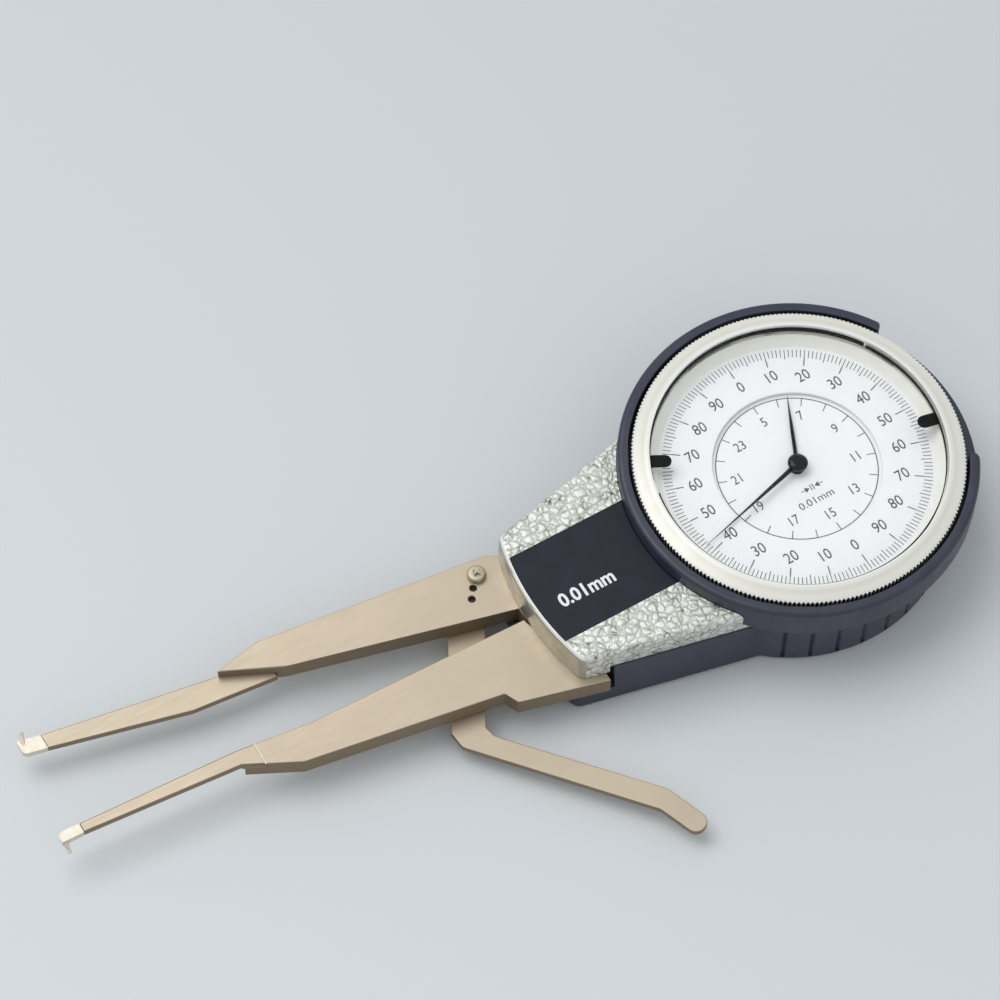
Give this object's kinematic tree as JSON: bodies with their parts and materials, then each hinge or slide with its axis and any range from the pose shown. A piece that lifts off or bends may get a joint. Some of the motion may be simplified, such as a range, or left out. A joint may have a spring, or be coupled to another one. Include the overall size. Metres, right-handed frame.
{
  "type": "inside dial caliper gauge",
  "caption": "Inside dial caliper gauge with two long pivoted arms with hooked tips, a finger lever, a geared dial with a turning bezel and tolerance markers.",
  "frame": {"origin": "on the dial's axis, in the flat underside of the back cover that the gauge lies on", "axes": "+X from the arms towards the dial's far end, +Y to the dial's top, +Z out of the dial"},
  "size_m": [0.1884, 0.0846, 0.0211],
  "materials": {
    "dark_plastic": "satin moulded plastic",
    "hammertone": "silver hammertone paint",
    "label": "satin",
    "bezel_metal": "satin nickel",
    "crystal": "clear acrylic",
    "white_plastic": "matt",
    "dial_white": "matt white",
    "spring_steel": "bright",
    "black_metal": "black",
    "arm_metal": "champagne satin",
    "tip_steel": "ground",
    "screw_steel": "bright",
    "brass": "turned"
  },
  "bodies": {
    "frame": {"back_cover": "dark_plastic", "front_housing": "hammertone", "label_plate": "label", "guard_ring": "dark_plastic", "inner_dial": "dial_white", "bezel_spring": "spring_steel", "fixed_arm": "arm_metal", "fixed_finger": "arm_metal", "fixed_tip": "tip_steel", "pivot_pin": "screw_steel", "thrust_washer": "brass", "motion_post": "screw_steel", "movement_top_plate": "brass", "movement_bottom_plate": "brass", "movement_pillars": "brass", "movement_screws": "screw_steel", "hairspring": "spring_steel", "hairspring_stud": "brass", "return_spring": "spring_steel", "spring_post": "screw_steel", "opening_stop_pin": "screw_steel", "closing_stop_pin": "screw_steel", "cover_screws": "screw_steel", "fixed_arm_screws": "screw_steel"},
    "arm": {"moving_arm": "arm_metal", "moving_finger": "arm_metal", "moving_tip": "tip_steel", "lever": "arm_metal", "lever_spacer": "spring_steel", "lever_screw": "screw_steel", "lever_pins": "screw_steel", "pivot_bush": "brass", "gear_sector": "brass", "sector_screws": "screw_steel"},
    "transfer": {"transfer_arbor": "screw_steel", "transfer_wheel": "brass"},
    "centre": {"centre_arbor": "screw_steel", "cannon_pinion": "brass", "long_hand": "black_metal", "hand_cap": "black_metal"},
    "motion": {"motion_wheel": "brass"},
    "mm_hand": {"mm_wheel": "brass", "short_hand": "black_metal"},
    "bezel": {"bezel": "bezel_metal", "crystal": "crystal", "outer_dial": "dial_white", "dial_spacer_ring": "white_plastic"},
    "left_marker": {"left_marker": "black_metal"},
    "right_marker": {"right_marker": "black_metal"}
  },
  "joints": [
    {"name": "arm_pivot", "type": "hinge", "parent": "frame", "child": "arm", "pos_m": [-0.05, 0.0023, 0.007], "axis": [0, 0, 1], "range_deg": [0, 11.87], "stiffness_Nm_per_rad": 0.3, "springref_deg": -14.32},
    {"name": "transfer_arbor", "type": "hinge", "parent": "frame", "child": "transfer", "pos_m": [-0.01006, 0.00901, 0.009], "axis": [0, 0, 1], "range_deg": [-309, 1]},
    {"name": "centre_arbor", "type": "hinge", "parent": "frame", "child": "centre", "pos_m": [0, 0, 0.012], "axis": [0, 0, 1], "range_deg": [-1, 3858]},
    {"name": "motion_wheel", "type": "hinge", "parent": "frame", "child": "motion", "pos_m": [-0.00471, -0.0022, 0.014], "axis": [0, 0, 1], "range_deg": [-1287, 1]},
    {"name": "millimetre_hand", "type": "hinge", "parent": "frame", "child": "mm_hand", "pos_m": [0, 0, 0.015], "axis": [0, 0, 1], "range_deg": [-1, 387]},
    {"name": "bezel_turn", "type": "hinge", "parent": "frame", "child": "bezel", "pos_m": [0, 0, 0.017], "axis": [0, 0, 1], "continuous": true},
    {"name": "left_marker_slide", "type": "hinge", "parent": "bezel", "child": "left_marker", "pos_m": [0, 0, 0.0195], "axis": [0, 0, 1], "range_deg": [-120, 120]},
    {"name": "right_marker_slide", "type": "hinge", "parent": "bezel", "child": "right_marker", "pos_m": [0, 0, 0.0195], "axis": [0, 0, 1], "range_deg": [-120, 120]}
  ],
  "couplings": [
    {"joint": "transfer_arbor", "follows": "arm_pivot", "ratio": -26},
    {"joint": "centre_arbor", "follows": "arm_pivot", "ratio": 325},
    {"joint": "motion_wheel", "follows": "arm_pivot", "ratio": -108.33},
    {"joint": "millimetre_hand", "follows": "arm_pivot", "ratio": 32.5}
  ]
}
